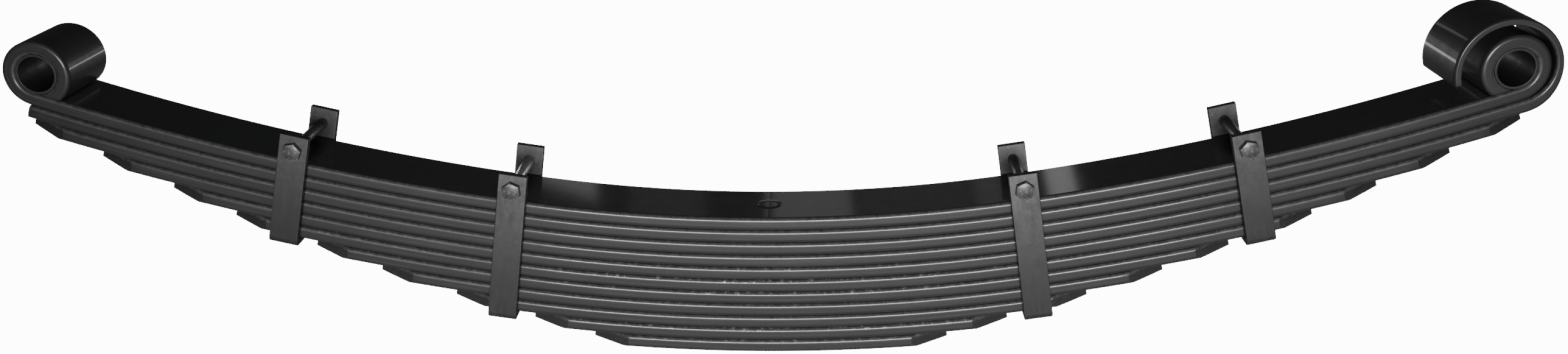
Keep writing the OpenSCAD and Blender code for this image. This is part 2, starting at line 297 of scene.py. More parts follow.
# %% Worn edge
worn, ends, out = new_group("Worn edge", [("Place", VECTOR, None), ("Rim", FLOAT, 0.0),
                                          ("Amount", FLOAT, 0.5)], [("Wear", FLOAT), ("Thin", FLOAT)])
breaks = add(worn, "ShaderNodeTexNoise", wires={"Vector": ends.outputs["Place"], "Scale": 160.0,
                                                "Detail": 5.0, "Roughness": 0.7}).outputs[0]
soft = spread(worn, ends.outputs["Rim"], 0.25, 1.0)
more = calc(worn, "MULTIPLY", calc(worn, "SUBTRACT", ends.outputs["Amount"], 0.5), 0.5)
bite = calc(worn, "ADD", breaks, more)
worn.links.new(calc(worn, "MULTIPLY", soft, spread(worn, bite, 0.55, 0.66)), out.inputs["Wear"])
worn.links.new(calc(worn, "MULTIPLY", soft, spread(worn, bite, 0.3, 0.62)), out.inputs["Thin"])

# %% Settled dust
dust, ends, out = new_group("Settled dust", [("Place", VECTOR, None), ("Amount", FLOAT, 0.3)],
                            [("Dust", FLOAT)])
facing = add(dust, "ShaderNodeSeparateXYZ", wires={0: add(dust, "ShaderNodeNewGeometry").outputs["Normal"]})
cloud = add(dust, "ShaderNodeTexNoise", wires={"Vector": ends.outputs["Place"], "Scale": 60.0, "Detail": 6.0,
                                               "Roughness": 0.65}).outputs[0]
lying = calc(dust, "MULTIPLY", spread(dust, facing.outputs["Z"], 0.2, 0.95),
             spread(dust, cloud, 0.42, 0.75))
dust.links.new(calc(dust, "MULTIPLY", lying, ends.outputs["Amount"]), out.inputs["Dust"])
print("effects", [g.name for g in bpy.data.node_groups])


# %% [markdown]
# ## Paint on steel
# The leaves, clips and fasteners share one build-up: a dark satin paint that varies a little, thinner
# and greyer along the rims, with bare steel where a chip has gone through. On the leaves the greyer
# rims are kept to the upper edges, so there they are also a painted highlight. One function lays down
# that build-up, and each finish calls it with its own tones. Plain numbers are set on the shader's own
# sockets, and only what changes over the surface is wired.

# %% Painted steel
def use(tree, group, **wires):
    """A shared effect, with its inputs given by name."""
    return add(tree, "ShaderNodeGroup", node_tree=group, wires=wires)


def blend_colour(tree, amount, first, second):
    """One colour laid over another by an amount."""
    wires = {0: amount, 6: first, 7: second}
    return add(tree, "ShaderNodeMix", data_type="RGBA", wires=wires).outputs[2]


def grey(value, warm=0.0):
    """A grey, a little warmer if asked."""
    return (value * (1 + warm), value, value * (1 - warm), 1.0)


def painted_steel(name, dark, light, thin, rough, chip_gain, coat, bump, dusty, amount=0.5,
                  streak_length=6.0, fineness=420.0, coat_rough=0.16, wear_and_highlight_depth=0.0):
    """Black paint over steel, with streaks, thin rims, chips and a little dust.

    With a depth for the upper rims, only the rims that lie nearer the top of the bar than that are worn;
    their paler thin paint is then also a painted highlight along the top edges.
    """
    material = bpy.data.materials.new(name)
    material.use_nodes = True
    tree = material.node_tree
    shader = tree.nodes["Principled BSDF"]
    place = add(tree, "ShaderNodeAttribute", attribute_name="place").outputs["Vector"]
    rim = add(tree, "ShaderNodeAttribute", attribute_name="rim").outputs["Fac"]
    # Rims kept to the upper edges: their paler thin paint is partly wear and partly a painted highlight where
    # the top edges catch the light.
    if wear_and_highlight_depth:
        deep = add(tree, "ShaderNodeSeparateXYZ", wires={0: place}).outputs["Z"]
        rim = calc(tree, "MULTIPLY", rim, spread(tree, deep, wear_and_highlight_depth, wear_and_highlight_depth * 0.5))
    chips = add(tree, "ShaderNodeAttribute", attribute_name="chips").outputs["Fac"]
    streak = use(tree, streaks, Place=place, Length=streak_length, Fineness=fineness)
    pebble = use(tree, peel, Place=place)
    edge = use(tree, worn, Place=place, Rim=rim, Amount=amount)
    settled = use(tree, dust, Place=place, Amount=dusty)
    tone = blend_colour(tree, streak.outputs["Streak"], grey(dark), grey(light))
    patchy = calc(tree, "MULTIPLY", pebble.outputs["Patch"], 0.35)
    tone = blend_colour(tree, patchy, tone, grey(dark * 0.7))
    # Paler thin paint along the rims; on the leaves' upper edges it is also a painted highlight.
    tone = blend_colour(tree, calc(tree, "MULTIPLY", edge.outputs["Thin"], 0.8), tone, grey(thin))
    bare = calc(tree, "MULTIPLY", calc(tree, "MULTIPLY", edge.outputs["Wear"], chips), chip_gain)
    tone = blend_colour(tree, bare, tone, grey(0.42, 0.02))
    tone = blend_colour(tree, settled.outputs["Dust"], tone, grey(0.11, 0.05))
    tree.links.new(tone, shader.inputs["Base Color"])
    tree.links.new(calc(tree, "MULTIPLY", bare, 0.8), shader.inputs["Metallic"])
    uneven = calc(tree, "ADD", calc(tree, "MULTIPLY", streak.outputs["Streak"], 0.10), rough)
    uneven = calc(tree, "ADD", uneven, calc(tree, "MULTIPLY", pebble.outputs["Patch"], 0.07))
    uneven = calc(tree, "ADD", uneven, calc(tree, "MULTIPLY", settled.outputs["Dust"], 0.4))
    tree.links.new(uneven, shader.inputs["Roughness"])
    height = calc(tree, "ADD", calc(tree, "MULTIPLY", streak.outputs["Height"], 0.6),
                  calc(tree, "MULTIPLY", pebble.outputs["Height"], 0.25))
    height = calc(tree, "SUBTRACT", height, calc(tree, "MULTIPLY", bare, 0.5))
    relief = add(tree, "ShaderNodeBump", wires={"Height": height, "Strength": bump, "Distance": 0.0004})
    tree.links.new(relief.outputs[0], shader.inputs["Normal"])
    shader.inputs["Coat Weight"].default_value = coat
    shader.inputs["Coat Roughness"].default_value = coat_rough
    return material


# The leaves' paler upper rims are partly thin paint and partly a painted highlight along each top edge.
leaf_paint = painted_steel("leaf paint", dark=0.022, light=0.036, thin=0.065, rough=0.42, chip_gain=1.3,
                           coat=0.5, coat_rough=0.07, bump=0.22, wear_and_highlight_depth=0.006, dusty=0.05)
clip_paint = painted_steel("clip paint", dark=0.022, light=0.031, thin=0.048, rough=0.5, amount=0.4,
                           chip_gain=0.4, streak_length=40.0, fineness=150.0, coat=0.05, bump=0.45,
                           dusty=0.08)
fastener_paint = painted_steel("fastener paint", dark=0.026, light=0.042, thin=0.075, rough=0.36,
                               amount=0.6, chip_gain=0.3, streak_length=120.0, fineness=120.0,
                               coat=0.2, bump=0.5, dusty=0.08)
print("paints", [m.name for m in (leaf_paint, clip_paint, fastener_paint)])

# %% [markdown]
# ## Bare and turned metal
# The left inner clip's bolt has lost its paint between the legs, and the other bolts keep a dull grey
# skin; its brighter metal is also a painted highlight that this shank catches. The bushes are turned
# steel, so their lines run round the bore. All three come from one function, with streaks that run
# round the part instead of along it.

# %% Turned metal
def turned_metal(name, dark, light, rough, metallic, length, fineness):
    """Dull metal with tool lines across its axis."""
    material = bpy.data.materials.new(name)
    material.use_nodes = True
    tree = material.node_tree
    shader = tree.nodes["Principled BSDF"]
    place = add(tree, "ShaderNodeAttribute", attribute_name="place").outputs["Vector"]
    rim = add(tree, "ShaderNodeAttribute", attribute_name="rim").outputs["Fac"]
    lines = use(tree, streaks, Place=place, Length=length, Fineness=fineness)
    pebble = use(tree, peel, Place=place, Size=600.0)
    edge = use(tree, worn, Place=place, Rim=rim, Amount=0.7)
    tone = blend_colour(tree, lines.outputs["Streak"], grey(dark, 0.02), grey(light, 0.01))
    patchy = calc(tree, "MULTIPLY", pebble.outputs["Patch"], 0.5)
    tone = blend_colour(tree, patchy, tone, grey(dark * 0.6, 0.05))
    rubbed = calc(tree, "MULTIPLY", edge.outputs["Thin"], 0.7)
    tone = blend_colour(tree, rubbed, tone, grey(light * 1.35))
    tree.links.new(tone, shader.inputs["Base Color"])
    tree.links.new(calc(tree, "ADD", calc(tree, "MULTIPLY", pebble.outputs["Patch"], 0.16), rough),
                   shader.inputs["Roughness"])
    relief = add(tree, "ShaderNodeBump", wires={"Height": lines.outputs["Height"], "Strength": 0.3,
                                                "Distance": 0.0003})
    tree.links.new(relief.outputs[0], shader.inputs["Normal"])
    shader.inputs["Metallic"].default_value = metallic
    return material


# A brighter copy of the bolt metal: bare steel, and also a painted highlight on the one shank that catches
# the light.
bare_highlight_bolt = turned_metal("bare highlight bolt", dark=0.42, light=0.60, rough=0.24, metallic=1.0,
                         length=700.0, fineness=30.0)
dull_bolt = turned_metal("dull bolt", dark=0.08, light=0.14, rough=0.40, metallic=0.5,
                         length=700.0, fineness=30.0)
bush_metal = turned_metal("bush metal", dark=0.030, light=0.055, rough=0.42, metallic=0.35,
                          length=60.0, fineness=500.0)

# %% [markdown]
# ## Leaves
# A leaf is drawn in one go: the section is set on the leaf's slope and swept round the middle arc and
# then the arm's arc. The spring flexes, so every leaf is made in runs that end under the clips, where
# the clip hides the joint line. Leaf coordinates carry the paint: each leaf has its own stretch of the
# pattern, so no two look alike.

# %% Runs of a leaf
CLIP_REACH, CLIP_LEAVES = (0.286, 0.527), (9, 6)
TIP_REACH = (0.822, 0.752, 0.677, 0.610, 0.521, 0.449, 0.365, 0.275, 0.206)
BENDS = (("leaf_pack", "{}_inner_arm", 0.035, 0.265), ("{}_inner_arm", "{}_outer_arm", 0.305, 0.495),
         ("{}_outer_arm", "{}_end", 0.56, 0.74))
EDGE_R, EDGE_STEPS, RUN_STEP = 0.0042, 5, 0.014
SWING = -ACROSS
OWN_PATTERN = 3.1
CHIPS = {5: 0.25, 6: 1.0, 7: 0.5, 8: 0.15, 10: 0.8, 11: 0.35}
CHIP_FADE = 0.3
clip_slope = [slope_at(reach, 0) for reach in CLIP_REACH]


def runs_of(last_slope, leaf):
    """Slopes at which the runs of one half of a leaf start and stop."""
    stops = [s for s, held in zip(clip_slope, CLIP_LEAVES) if leaf <= held]
    return list(zip([0.0] + stops, stops + [last_slope]))


def sweep_leaf(bm, start, stop, depth):
    """Draws a leaf from one slope to another and returns its far end."""
    far = bar_section(bm, LEAF_W, LEAF_T, EDGE_R, EDGE_STEPS)
    bmesh.ops.transform(bm, verts=bm.verts, matrix=leaf_matrix(start, depth))
    if start < MIDDLE_A:
        turn = min(stop, MIDDLE_A) - start
        far = bend(bm, far, middle_c, turn, SWING, RUN_STEP / MIDDLE_R)
    if stop > MIDDLE_A:
        turn = stop - max(start, MIDDLE_A)
        far = bend(bm, far, arm_c, turn, SWING, RUN_STEP / ARM_R)
    return far


def along_leaf(leaf, side):
    """Leaf coordinates of a point: length along it, across it, and depth in it."""
    def place(co):
        x, turn_c, radius = abs(co.x), middle_c, MIDDLE_R
        slope = math.atan2(x, middle_c.z - co.z)
        if slope > MIDDLE_A:
            turn_c, radius = arm_c, ARM_R
            slope = math.atan2(x - arm_c.x, arm_c.z - co.z)
        depth = math.hypot(x - turn_c.x, turn_c.z - co.z) - radius - (leaf - 1) * PITCH
        return Vector((side * length_at(slope) + OWN_PATTERN * leaf, co.y, depth))
    return place


def soften(bm, faces, offset=0.0006):
    """Takes the sharpness off the edges round some faces."""
    edges = {edge for face in faces for edge in face.edges
             if edge.calc_face_angle(0) > math.radians(25)}
    bmesh.ops.bevel(bm, geom=list(edges), offset=offset, offset_type="OFFSET", segments=2, profile=0.5,
                    affect="EDGES", material=-1, clamp_overlap=True)


def square_end(bm, far):
    """Makes the end of a swept bar one face and softens the edges round it."""
    caps = bmesh.ops.dissolve_faces(bm, faces=only(bmesh.types.BMFace, far))["region"]
    bmesh.ops.recalc_face_normals(bm, faces=bm.faces)
    soften(bm, caps)


def side_name(side):
    """Name of a side, where 1 is the right and -1 the left."""
    return "right" if side > 0 else "left"


def leaf_run(bm, leaf, side, number, node, place=None):
    """Turns a swept run into a finished piece, mirrored on the left side."""
    if side < 0:
        bmesh.ops.scale(bm, vec=(-1, 1, 1), verts=bm.verts)
    label = side_name(side)
    seams = []
    for slope in (0.0, *clip_slope):
        spot = leaf_matrix(slope, 0)
        way = spot.to_3x3() @ Vector((1, 0, 0))
        seams.append((Vector((side * spot.translation.x, 0, spot.translation.z)),
                      Vector((side * way.x, 0, way.z))))
    piece = finish_piece(bm, f"{node}_{label}_run_{number + 1}", leaf_paint, node,
                         place or along_leaf(leaf, side), CHIPS.get(leaf, 0.0), seams, CHIP_FADE)
    near, far, start, stop = BENDS[number]
    far.format(label)
    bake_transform(piece)


print("clip slopes", [round(math.degrees(s), 2) for s in clip_slope])

# %% [markdown]
# ## Stepped leaves with trimmed tips
# Each shorter leaf ends in a blunt tip with both corners sheared off. The corners are cut by two
# upright planes with bisect_plane, the openings are filled, and the sheared edges are softened a
# little, because a perfectly sharp edge catches no light.

# %% Leaves three to eleven
TRIM_LENGTH, TRIM_DEPTH = 0.042, 0.023


def trim_tip(bm, slope, depth, far):
    """Shears both corners off a leaf's tip."""
    cap = bmesh.ops.dissolve_faces(bm, faces=only(bmesh.types.BMFace, far))["region"]
    spot = leaf_matrix(slope, depth)
    for side in (-1, 1):
        through = spot @ Vector((0, side * (LEAF_W / 2 - TRIM_DEPTH), 0))
        outward = spot.to_3x3() @ Vector((TRIM_DEPTH, side * TRIM_LENGTH, 0))
        cut = bmesh.ops.bisect_plane(bm, geom=bm.verts[:] + bm.edges[:] + bm.faces[:], dist=1e-7,
                                     plane_co=through, plane_no=outward, clear_outer=True)["geom_cut"]
        cap += bmesh.ops.edgeloop_fill(bm, edges=only(bmesh.types.BMEdge, cut))["faces"]
    bmesh.ops.recalc_face_normals(bm, faces=bm.faces)
    soften(bm, [face for face in cap if face.is_valid])


for leaf, reach in enumerate(TIP_REACH, start=3):
    depth = (leaf - 1) * PITCH
    tip = slope_at(reach, depth + PITCH / 2)
    for side in (-1, 1):
        for number, (start, stop) in enumerate(runs_of(tip, leaf)):
            bm = bmesh.new()
            far = sweep_leaf(bm, start, stop, depth)
            if stop == tip:
                trim_tip(bm, tip, depth, far)
            leaf_run(bm, leaf, side, number, f"leaf_{leaf}")

# %% [markdown]
# ## The main leaf and its eyes
# The main leaf carries on past the arm and is rolled up into an eye, nearly a full turn, until its
# end almost meets the leaf again. The same section is swept round the eye's centre in two steps, and
# the last step is sliced level with the leaf. That leaves the slanted end that a real rolled eye has.

# %% Main leaf
EYE_REACH, ROLL_R, EYE_SLIT, ROLL_DEGREES = 0.800, 0.0222, 0.0012, 286
eye_slope = math.asin((EYE_REACH - arm_c.x) / (ARM_R - ROLL_R))
eye_c = leaf_matrix(eye_slope, -ROLL_R).translation
ROUND_STEP = math.radians(4)


def eye_place(side):
    """Leaf coordinates that carry on round the eye."""
    plain = along_leaf(1, side)
    def place(co):
        flat = Vector((abs(co.x), 0, co.z)) - Vector((eye_c.x, 0, eye_c.z))
        local = Matrix.Rotation(eye_slope, 3, "Y") @ flat
        outside = local.x < -1e-6 and flat.length > ROLL_R + LEAF_T + 1e-4
        if outside or local.x < 0 and local.z < -ROLL_R:
            return plain(co)
        length = length_at(eye_slope) + ROLL_R * (math.atan2(local.x, -local.z) % math.tau)
        return Vector((side * length + OWN_PATTERN, co.y, flat.length - ROLL_R))
    return place


def roll_eye(bm, far):
    """Rolls the leaf's end up into an eye and slices its end level with the leaf."""
    far = bend(bm, far, eye_c, math.radians(ROLL_DEGREES), SWING, ROUND_STEP)
    before = set(bm.faces)
    last = math.radians(360 - ROLL_DEGREES) - math.acos(1 - EYE_SLIT / ROLL_R)
    far = bend(bm, far, eye_c, last, SWING, ROUND_STEP)
    fresh = [face for face in bm.faces if face not in before]
    parts = set(fresh) | {e for f in fresh for e in f.edges} | {v for f in fresh for v in f.verts}
    level = leaf_matrix(eye_slope, -EYE_SLIT)
    cut = bmesh.ops.bisect_plane(bm, geom=list(parts), dist=1e-7, plane_co=level.translation,
                                 plane_no=-(level.to_3x3() @ UPWARDS), clear_outer=True)["geom_cut"]
    loose = [edge for edge in only(bmesh.types.BMEdge, cut) if edge.is_boundary]
    caps = bmesh.ops.edgeloop_fill(bm, edges=loose)["faces"]
    bmesh.ops.recalc_face_normals(bm, faces=bm.faces)
    soften(bm, caps, 0.0004)


for side in (-1, 1):
    for number, (start, stop) in enumerate(runs_of(eye_slope, 1)):
        bm = bmesh.new()
        far = sweep_leaf(bm, start, stop, 0)
        if stop == eye_slope:
            roll_eye(bm, far)
        leaf_run(bm, 1, side, number, "main_leaf", eye_place(side))
print("eye centre", [round(v, 4) for v in eye_c])

# %% [markdown]
# ## The second leaf and its wrap
# On the left the second leaf stops square, just under the eye. On the right it is forged round the
# eye as a half wrap: the bar curls up on one arc, passes over the eye on a wider one and gets thinner
# on the way. It is swept at full thickness first. Then each point is moved to where the tapered
# wrap has it, by its angle and its depth in the bar.

# %% Second leaf
WRAP_LOW_R, WRAP_HIGH_R, WRAP_T, WRAP_LEAD = 0.038, 0.049, 0.0085, 0.0034
WRAP_MEAN_R, SQUARE_END = 0.045, 0.816
wrap_slope = eye_slope + WRAP_LEAD / ARM_R
wrap_frame = leaf_matrix(wrap_slope, PITCH)
to_wrap = wrap_frame.inverted()
low_c, high_c = Vector((0, 0, WRAP_LOW_R)), Vector((WRAP_LOW_R - WRAP_HIGH_R, 0, WRAP_LOW_R))
shift, start_r, end_r = WRAP_HIGH_R - WRAP_LOW_R, WRAP_LOW_R + LEAF_T, WRAP_HIGH_R + WRAP_T
foot_r = (end_r ** 2 - shift ** 2 - start_r ** 2) / (2 * (end_r - start_r))
foot_c = Vector((0, 0, WRAP_LOW_R - start_r + foot_r))
foot_turn = math.pi / 2 - math.atan2(start_r - foot_r, shift)


def ray_out(start, way, centre, radius):
    """How far a ray goes before it leaves a circle."""
    gap = start - centre
    half = gap.dot(way)
    return -half + math.sqrt(max(0, half * half - gap.length_squared + radius * radius))


def wrap_inside(turn):
    """Inner point of the wrap after a turn from the foot, and the way out from it."""
    way = Vector((math.sin(turn), 0, -math.cos(turn)))
    return low_c + WRAP_LOW_R * way if turn < math.pi / 2 else high_c + WRAP_HIGH_R * way, way


def wrap_thickness(turn):
    """Thickness of the wrap after a turn from the foot."""
    inner, way = wrap_inside(turn)
    foot = inner + way * ray_out(inner, way, foot_c, foot_r)
    if math.atan2(foot.x - foot_c.x, foot_c.z - foot.z) <= foot_turn and turn < math.pi / 2:
        return (foot - inner).length
    return ray_out(inner, way, high_c, end_r)


def wrap_turn(co):
    """Turn and depth of a point in the wrap, or nothing on the leaf itself."""
    local = to_wrap @ Vector((abs(co.x), co.y, co.z))
    local.y = 0
    if local.x <= 1e-7 and local.z < WRAP_LOW_R * 0.4:
        return None
    if local.z <= WRAP_LOW_R and local.x > 0:
        flat = local - low_c
        return math.atan2(flat.x, -flat.z), flat.length - WRAP_LOW_R
    flat = local - high_c
    return math.atan2(flat.x, -flat.z) % math.tau, flat.length - WRAP_HIGH_R


wrap_places = {}


def point_key(co):
    """A point as a key that survives a last digit."""
    return tuple(round(v, 7) for v in co)


def taper_wrap(bm):
    """Moves each point of the wrap to its tapered place and keeps its leaf coordinates."""
    for vert in bm.verts:
        found = wrap_turn(vert.co)
        if found is None:
            continue
        turn, depth = found
        inner, way = wrap_inside(turn)
        moved = wrap_frame @ (inner + way * depth * wrap_thickness(turn) / LEAF_T)
        vert.co = (moved.x, vert.co.y, moved.z)
        length = length_at(wrap_slope) + WRAP_MEAN_R * turn + 2 * OWN_PATTERN
        wrap_places[point_key(vert.co)] = Vector((length, vert.co.y, depth))


def wrap_place(co):
    """Leaf coordinates that carry on round the wrap."""
    return wrap_places.get(point_key(co)) or along_leaf(2, 1)(co)


for side in (-1, 1):
    last = wrap_slope if side > 0 else slope_at(SQUARE_END, 1.5 * PITCH)
    for number, (start, stop) in enumerate(runs_of(last, 2)):
        bm = bmesh.new()
        far = sweep_leaf(bm, start, stop, PITCH)
        place = None
        if stop == last and side < 0:
            square_end(bm, far)
        elif stop == last:
            far = bend(bm, far, wrap_frame @ low_c, math.pi / 2, SWING, ROUND_STEP)
            far = bend(bm, far, wrap_frame @ high_c, math.pi, SWING, ROUND_STEP)
            square_end(bm, far)
            taper_wrap(bm)
            place = wrap_place
        leaf_run(bm, 2, side, number, "wrap_leaf", place)
print("wrap thickness", [round(wrap_thickness(math.radians(a)) * 1000, 2) for a in (0, 45, 90, 180, 270)])

# %% [markdown]
# ## Bushes
# Each eye holds a thin turned bush. Its wall is a small rounded section that is spun once round the
# bore, and a full spin merges its last step with its first.

# %% Eye bushes
BUSH_R, BUSH_OUTER_R, BUSH_LENGTH, BUSH_EDGE_R = 0.020, 0.02245, 0.087, 0.0005


def bush_place(centre):
    """Bush coordinates of a point: length round the bore, along it, and distance from its axis."""
    def place(co):
        out = Vector((co.x, centre.y, co.z)) - centre
        return Vector((math.atan2(out.x, out.z) * BUSH_R, co.y, out.length))
    return place


for side in (-1, 1):
    label = side_name(side)
    low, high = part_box(f"{label}_eye_bush")
    centre = (Vector(low) + Vector(high)) / 2
    bm = bmesh.new()
    bar_section(bm, BUSH_LENGTH, BUSH_OUTER_R - BUSH_R, BUSH_EDGE_R, 3)
    bmesh.ops.translate(bm, verts=bm.verts, vec=(0, 0, -BUSH_R))
    bmesh.ops.dissolve_faces(bm, faces=bm.faces[:])
    bmesh.ops.delete(bm, geom=bm.faces[:], context="FACES_ONLY")
    bmesh.ops.spin(bm, geom=bm.verts[:] + bm.edges[:], cent=(0, 0, 0), axis=(0, 1, 0), angle=math.tau,
                   steps=96, use_merge=True)
    bmesh.ops.remove_doubles(bm, verts=bm.verts, dist=1e-6)
    bmesh.ops.translate(bm, verts=bm.verts, vec=centre)
    piece = finish_piece(bm, f"{label}_bush", bush_metal, f"{label}_eye_bush",
                         bush_place(centre))
    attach(piece, f"{label}_end")
print("bush centre", [round(v, 4) for v in centre])

# %% [markdown]
# ## Clip straps
# A rebound clip is a flat bar folded into a U. It hangs under the ninth or the sixth leaf, held by a
# rivet, and its two legs stand past the main leaf. The bar is drawn down one leg, folded round a tight
# bend, drawn across and taken up the other leg, so its folds have the right thickness all through.

# %% Straps
STRAP_W, STRAP_T, SIDE_GAP, BASE_GAP = 0.032, 0.008, 0.0015, 0.0003
LEG_RISE, FOLD_R, FOLD_STEP, STRAP_EDGE_R = 0.034, 0.0012, math.radians(12), 0.0008
STRAP_CHIPS = 0.3
inside = LEAF_W / 2 + SIDE_GAP
PLACES = ("inner", "outer")


def clip_matrix(side, number):
    """Place of a clip on its side: Z is zero at the main leaf's top."""
    spot = leaf_matrix(clip_slope[number], 0)
    return spot if side > 0 else Matrix.Scale(-1, 4, (1, 0, 0)) @ spot


def strap_base(held):
    """Height of the inside of a strap's base, under the leaves that it holds."""
    return -(held * PITCH - (PITCH - LEAF_T) + BASE_GAP)


def strap_place(base, spot, apart):
    """Bar coordinates of a strap: length round the U, place across it, depth from its outside."""
    back = spot.inverted()
    def place(co):
        at = back @ co
        length, depth = at.y, at.z - base + STRAP_T
        if at.z > base + FOLD_R:
            length, depth = math.copysign(inside + at.z - base, at.y), inside + STRAP_T - abs(at.y)
        return Vector((length + apart, at.x, depth))
    return place


for side in (-1, 1):
    for number, held in enumerate(CLIP_LEAVES):
        base = strap_base(held)
        bm = bmesh.new()
        far = bar_section(bm, STRAP_W, STRAP_T, STRAP_EDGE_R, 3)
        bmesh.ops.transform(bm, verts=bm.verts, matrix=Matrix.Translation((0, -inside, LEG_RISE))
                            @ Matrix(((0, 1, 0, 0), (0, 0, 1, 0), (1, 0, 0, 0), (0, 0, 0, 1))))
        top = only(bmesh.types.BMFace, far)
        far = draw_out(bm, far, (0, 0, base + FOLD_R - LEG_RISE))
        fold = Vector((0, -inside + FOLD_R, base + FOLD_R))
        far = bend(bm, far, fold, math.pi / 2, (1, 0, 0), FOLD_STEP)
        far = draw_out(bm, far, (0, 2 * (inside - FOLD_R), 0))
        far = bend(bm, far, (0, -fold.y, fold.z), math.pi / 2, (1, 0, 0), FOLD_STEP)
        far = draw_out(bm, far, (0, 0, LEG_RISE - base - FOLD_R))
        caps = []
        for end in (top, only(bmesh.types.BMFace, far)):
            caps += bmesh.ops.dissolve_faces(bm, faces=[face for face in end if face.is_valid])["region"]
        bmesh.ops.recalc_face_normals(bm, faces=bm.faces)
        soften(bm, caps, 0.0005)
        label = f"{side_name(side)}_{PLACES[number]}_clip_strap"
        spot = clip_matrix(side, number)
        bmesh.ops.transform(bm, verts=bm.verts, matrix=spot)
        piece = finish_piece(bm, label + "_bar", clip_paint, label,
                             strap_place(base, spot, side + 3 * number), STRAP_CHIPS)
        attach(piece, f"{side_name(side)}_{PLACES[number]}_arm")
print("strap length round the U", round(2 * (inside + LEG_RISE - base), 3))

# %% [markdown]
# ## Turned shapes and hexagons
# Bolts, nuts and rivets are turned parts, so one helper spins a short profile once round its axis. A
# hexagon head starts as a circle whose points are pushed out to the hexagon's sides. Its top is cut by
# a shallow cone, as on a real bolt, which leaves the curved line on each flat.

# %% Helpers for turned parts
TURN_STEPS = 24


def turned(bm, profile):
    """Spins a profile of (radius, height) points round Z into a closed solid."""
    verts = [bm.verts.new((r, 0, z)) for r, z in profile]
    edges = [bm.edges.new(pair) for pair in zip(verts, verts[1:])]
    bmesh.ops.spin(bm, geom=verts + edges, cent=(0, 0, 0), axis=UPWARDS, angle=math.tau, steps=48,
                   use_merge=True)
    bmesh.ops.remove_doubles(bm, verts=bm.verts, dist=1e-6)


def round_edges(bm, rim):
    """The edges that join the points of one ring to each other."""
    ring = set(rim)
    return [edge for edge in bm.edges if ring.issuperset(edge.verts)]


def hexagon(bm, flats, low, high, bevel_low, hole=0.0):
    """A hexagon from low to high along Z; its top, and its foot if asked, cut by a cone.

    It is made first in its bmesh, because its rings are found among all the edges there.
    """
    def side_r(co):
        part = (math.atan2(co.y, co.x) % (math.pi / 3)) - math.pi / 6
        return flats / 2 / math.cos(part)
    cone = flats / 2 * 0.96
    ring = bmesh.ops.create_circle(bm, cap_ends=False, segments=72, radius=cone)["verts"]
    bmesh.ops.translate(bm, verts=ring, vec=(0, 0, low))
    edges = round_edges(bm, ring)
    rims = [ring]
    for end, flat in ((low, False), (high, False), (high, True)):
        made = bmesh.ops.extrude_edge_only(bm, edges=edges)["geom"]
        edges, ring = only(bmesh.types.BMEdge, made), only(bmesh.types.BMVert, made)
        for vert in ring:
            wide = side_r(vert.co)
            cut = (wide - cone) * math.tan(math.radians(30))
            size = cone if flat else wide
            inward = cut if not flat and (end == high or bevel_low) else 0
            vert.co = (vert.co.x / vert.co.xy.length * size, vert.co.y / vert.co.xy.length * size,
                       end - math.copysign(inward, end - (low + high) / 2))
        rims.append(ring)
    if hole:
        for rim in (rims[0], rims[-1]):
            made = bmesh.ops.extrude_edge_only(bm, edges=round_edges(bm, rim))["geom"]
            for vert in only(bmesh.types.BMVert, made):
                vert.co.xy = vert.co.xy.normalized() * hole
            rim[:] = only(bmesh.types.BMVert, made)
        bmesh.ops.bridge_loops(bm, edges=round_edges(bm, rims[0]) + round_edges(bm, rims[-1]))
    else:
        for rim in (rims[0], rims[-1]):
            bmesh.ops.contextual_create(bm, geom=round_edges(bm, rim))


def thread(bm, radius, pitch, low, high):
    """A helical ridge on a shank: a small triangle spun and lifted at once."""
    root, crest = radius - 0.0003, radius + 0.0005
    tooth = [bm.verts.new((r, 0, low + pitch * part)) for r, part in ((root, 0), (crest, 0.42), (root, 0.84))]
    turns = (high - low) / pitch - 1
    bmesh.ops.spin(bm, geom=[bm.faces.new(tooth)] + tooth, cent=(0, 0, 0), axis=UPWARDS,
                   angle=math.tau * turns, steps=int(turns * TURN_STEPS), dvec=UPWARDS * pitch / TURN_STEPS)


# %% [markdown]
# ## Clip bolts, nuts and rivets
# A bolt passes through both legs above the main leaf. Its head is on the front, with a thin washer
# face under it, and a nut is run up at the back, so the end of the thread stands out a few
# millimetres. The rivet under each clip shows only its domed head.

# %% Bolts and nuts
BOLT_R, BOLT_RISE, FLATS, HEAD_H, NUT_H, PAST = 0.006, 0.0165, 0.019, 0.0075, 0.010, 0.003
THREAD_PITCH, THREAD_LENGTH, FACE_R, FACE_H = 0.00175, 0.030, FLATS * 0.47, 0.0008
HEAD_TURN, NUT_TURN = (17, 40), (11, 42)
SHANK_CHIPS, HEAD_CHIPS, NUT_CHIPS = 0.4, 0.8, 0.6
grip = inside + STRAP_T


def lay_across(bm, side, number):
    """Turns a part made along Z so that it lies across the spring at a clip, Z towards the front."""
    across = Matrix.Translation((0, 0, BOLT_RISE)) @ Matrix.Rotation(math.pi / 2, 4, "X")
    spot = clip_matrix(side, number) @ across
    bmesh.ops.transform(bm, verts=bm.verts, matrix=spot)
    back = spot.inverted()
    return lambda co: back @ co


def turn_round(bm, degrees):
    """Turns a part round Z, so that no two hexagons stop at the same angle."""
    bmesh.ops.rotate(bm, verts=bm.verts, matrix=Matrix.Rotation(math.radians(degrees), 3, "Z"))


